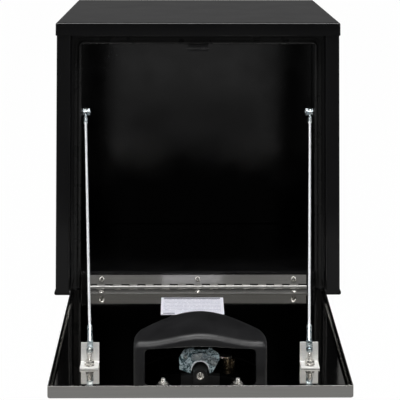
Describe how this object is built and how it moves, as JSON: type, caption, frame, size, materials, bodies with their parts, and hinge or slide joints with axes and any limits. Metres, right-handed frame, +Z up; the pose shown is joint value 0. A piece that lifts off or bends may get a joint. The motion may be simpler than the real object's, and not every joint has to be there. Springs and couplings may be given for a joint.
{
  "type": "truck tool box",
  "caption": "Steel underbody truck tool box with a drop-down stainless door on a piano hinge, rope stays and a paddle latch.",
  "frame": {"origin": "centre of the box's underside, between the side walls and between the body's front and back faces", "axes": "+Z up, -Y out of the door opening, +X to the viewer's right when facing the opening"},
  "size_m": [0.46, 0.8486, 0.4541],
  "materials": {
    "black_paint": "gloss black powder coat",
    "seal_rubber": "matt black EPDM",
    "zinc_plate": "bright zinc plated",
    "hinge_steel": "satin stainless",
    "mirror_stainless": "mirror polished stainless",
    "satin_stainless": "satin stainless",
    "bright_steel": "bright stainless",
    "wire_rope": "stranded wire rope",
    "guard_plastic": "moulded, lightly textured",
    "barrel_plastic": "matt black",
    "lock_brass": "polished, part plated",
    "label_paper": "blank printed film"
  },
  "bodies": {
    "box": {"top_cover": "black_paint", "left_side_panel": "black_paint", "right_side_panel": "black_paint", "back_panel": "black_paint", "bottom_pan": "black_paint", "header_rail": "black_paint", "door_seal": "seal_rubber", "striker_bracket": "black_paint", "hinge_leaf_box": "hinge_steel", "hinge_pin": "hinge_steel", "hinge_rivet_box_1": "bright_steel", "hinge_rivet_box_2": "bright_steel", "hinge_rivet_box_3": "bright_steel", "left_anchor_tab": "black_paint", "right_anchor_tab": "black_paint", "left_anchor_bolt": "zinc_plate", "right_anchor_bolt": "zinc_plate"},
    "door": {"door_skin": "mirror_stainless", "care_label": "label_paper", "hinge_leaf_door": "hinge_steel", "hinge_rivet_door_1": "bright_steel", "hinge_rivet_door_2": "bright_steel", "hinge_rivet_door_3": "bright_steel", "left_stay_bracket": "satin_stainless", "left_bracket_stud": "bright_steel", "left_stay_bolt": "zinc_plate", "left_rope_sleeve": "zinc_plate", "left_rope_4": "wire_rope", "right_stay_bracket": "satin_stainless", "right_bracket_stud": "bright_steel", "right_stay_bolt": "zinc_plate", "right_rope_sleeve": "zinc_plate", "right_rope_4": "wire_rope", "latch_guard": "guard_plastic", "guard_nut_left": "bright_steel", "guard_nut_right": "bright_steel", "bolt_housing": "barrel_plastic", "bolt_spring": "bright_steel", "latch_plate": "zinc_plate", "lever_pivot": "zinc_plate", "plate_rivet": "zinc_plate", "handle_dish": "black_paint", "paddle_lugs": "zinc_plate", "paddle_pin": "bright_steel", "paddle_spring": "bright_steel", "lock_cylinder": "lock_brass"},
    "paddle": {"paddle_handle": "satin_stainless"},
    "release_lever": {"release_lever": "zinc_plate"},
    "latch_bolt": {"latch_bolt": "bright_steel"},
    "lock_plug": {"lock_plug": "bright_steel"},
    "left_rope_upper": {"left_rope_eye": "zinc_plate", "left_rope_1": "wire_rope"},
    "left_rope_middle": {"left_rope_2": "wire_rope"},
    "left_rope_lower": {"left_rope_3": "wire_rope"},
    "right_rope_upper": {"right_rope_eye": "zinc_plate", "right_rope_1": "wire_rope"},
    "right_rope_middle": {"right_rope_2": "wire_rope"},
    "right_rope_lower": {"right_rope_3": "wire_rope"}
  },
  "joints": [
    {"name": "door_hinge", "type": "hinge", "parent": "box", "child": "door", "pos_m": [0, -0.222, 0.0105], "axis": [-1, 0, 0], "range_deg": [0, 93.32]},
    {"name": "paddle_pull", "type": "hinge", "parent": "door", "child": "paddle", "pos_m": [0, -0.55831, -0.01123], "axis": [-1, 0, 0], "range_deg": [0, 32], "stiffness_Nm_per_rad": 0.05},
    {"name": "release_lever_turn", "type": "hinge", "parent": "door", "child": "release_lever", "pos_m": [0.018, -0.57187, 0.01543], "axis": [0, 0.9983, 0.058], "range_deg": [0, 10]},
    {"name": "latch_bolt_slide", "type": "slide", "parent": "door", "child": "latch_bolt", "axis": [0, -0.9983, -0.058], "range_m": [0, 0.014]},
    {"name": "lock_turn", "type": "hinge", "parent": "door", "child": "lock_plug", "pos_m": [0.038, -0.54708, -0.01479], "axis": [0, -0.058, 0.9983], "range_deg": [0, 90]},
    {"name": "left_stay_eye", "type": "hinge", "parent": "box", "child": "left_rope_upper", "pos_m": [-0.1835, -0.1956, 0.2866], "axis": [1, 0, 0], "range_deg": [0, 63]},
    {"name": "left_stay_upper_fold", "type": "hinge", "parent": "left_rope_upper", "child": "left_rope_middle", "pos_m": [-0.17219, -0.31143, 0.18898], "axis": [1, 0, 0], "range_deg": [0, 62]},
    {"name": "left_stay_lower_fold", "type": "hinge", "parent": "door", "child": "left_rope_lower", "pos_m": [-0.1658, -0.37676, 0.13391], "axis": [-1, 0, 0], "range_deg": [0, 82.5]},
    {"name": "right_stay_eye", "type": "hinge", "parent": "box", "child": "right_rope_upper", "pos_m": [0.1835, -0.1956, 0.2866], "axis": [1, 0, 0], "range_deg": [0, 63]},
    {"name": "right_stay_upper_fold", "type": "hinge", "parent": "right_rope_upper", "child": "right_rope_middle", "pos_m": [0.17219, -0.31143, 0.18898], "axis": [1, 0, 0], "range_deg": [0, 62]},
    {"name": "right_stay_lower_fold", "type": "hinge", "parent": "door", "child": "right_rope_lower", "pos_m": [0.1658, -0.37676, 0.13391], "axis": [-1, 0, 0], "range_deg": [0, 82.5]}
  ],
  "couplings": [
    {"joint": "release_lever_turn", "follows": "paddle_pull", "ratio": 0.3125},
    {"joint": "left_stay_eye", "follows": "door_hinge", "ratio": 0.6738},
    {"joint": "left_stay_upper_fold", "follows": "door_hinge", "ratio": 0.6633},
    {"joint": "left_stay_lower_fold", "follows": "door_hinge", "ratio": 0.883},
    {"joint": "right_stay_eye", "follows": "door_hinge", "ratio": 0.6738},
    {"joint": "right_stay_upper_fold", "follows": "door_hinge", "ratio": 0.6633},
    {"joint": "right_stay_lower_fold", "follows": "door_hinge", "ratio": 0.883}
  ]
}
